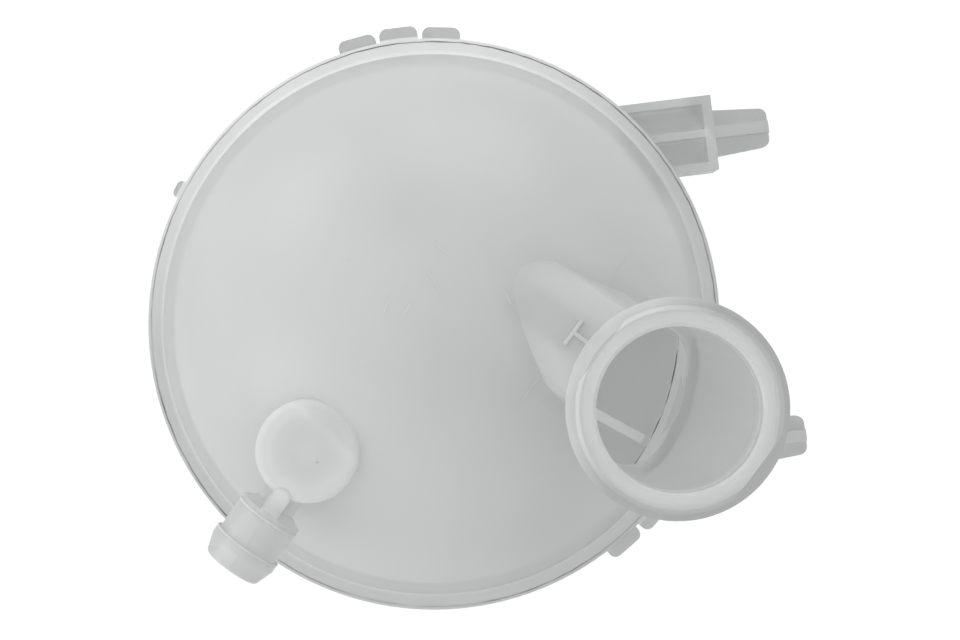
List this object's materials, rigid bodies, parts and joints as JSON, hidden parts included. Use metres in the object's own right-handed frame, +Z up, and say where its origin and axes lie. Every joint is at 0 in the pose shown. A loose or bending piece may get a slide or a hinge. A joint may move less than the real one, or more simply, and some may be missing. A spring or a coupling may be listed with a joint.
{
  "type": "coolant expansion tank",
  "caption": "Spherical coolant expansion tank of welded plastic half shells, with an off-centre filler neck, a return-hose nipple, a bottom outlet and cross-section mounting pins on legs.",
  "frame": {"origin": "midway between the two mounting pins, on the plane of their shoulders", "axes": "+X along the mounting pins, the way they leave the tank; +Z up, along the filler bore and square to the weld plane"},
  "size_m": [0.1871, 0.1686, 0.1995],
  "materials": {
    "natural_polypropylene": "natural, uncoloured translucent polypropylene, satin as moulded"
  },
  "bodies": {
    "root": {"upper_shell": "natural_polypropylene", "lower_shell": "natural_polypropylene"}
  },
  "joints": []
}
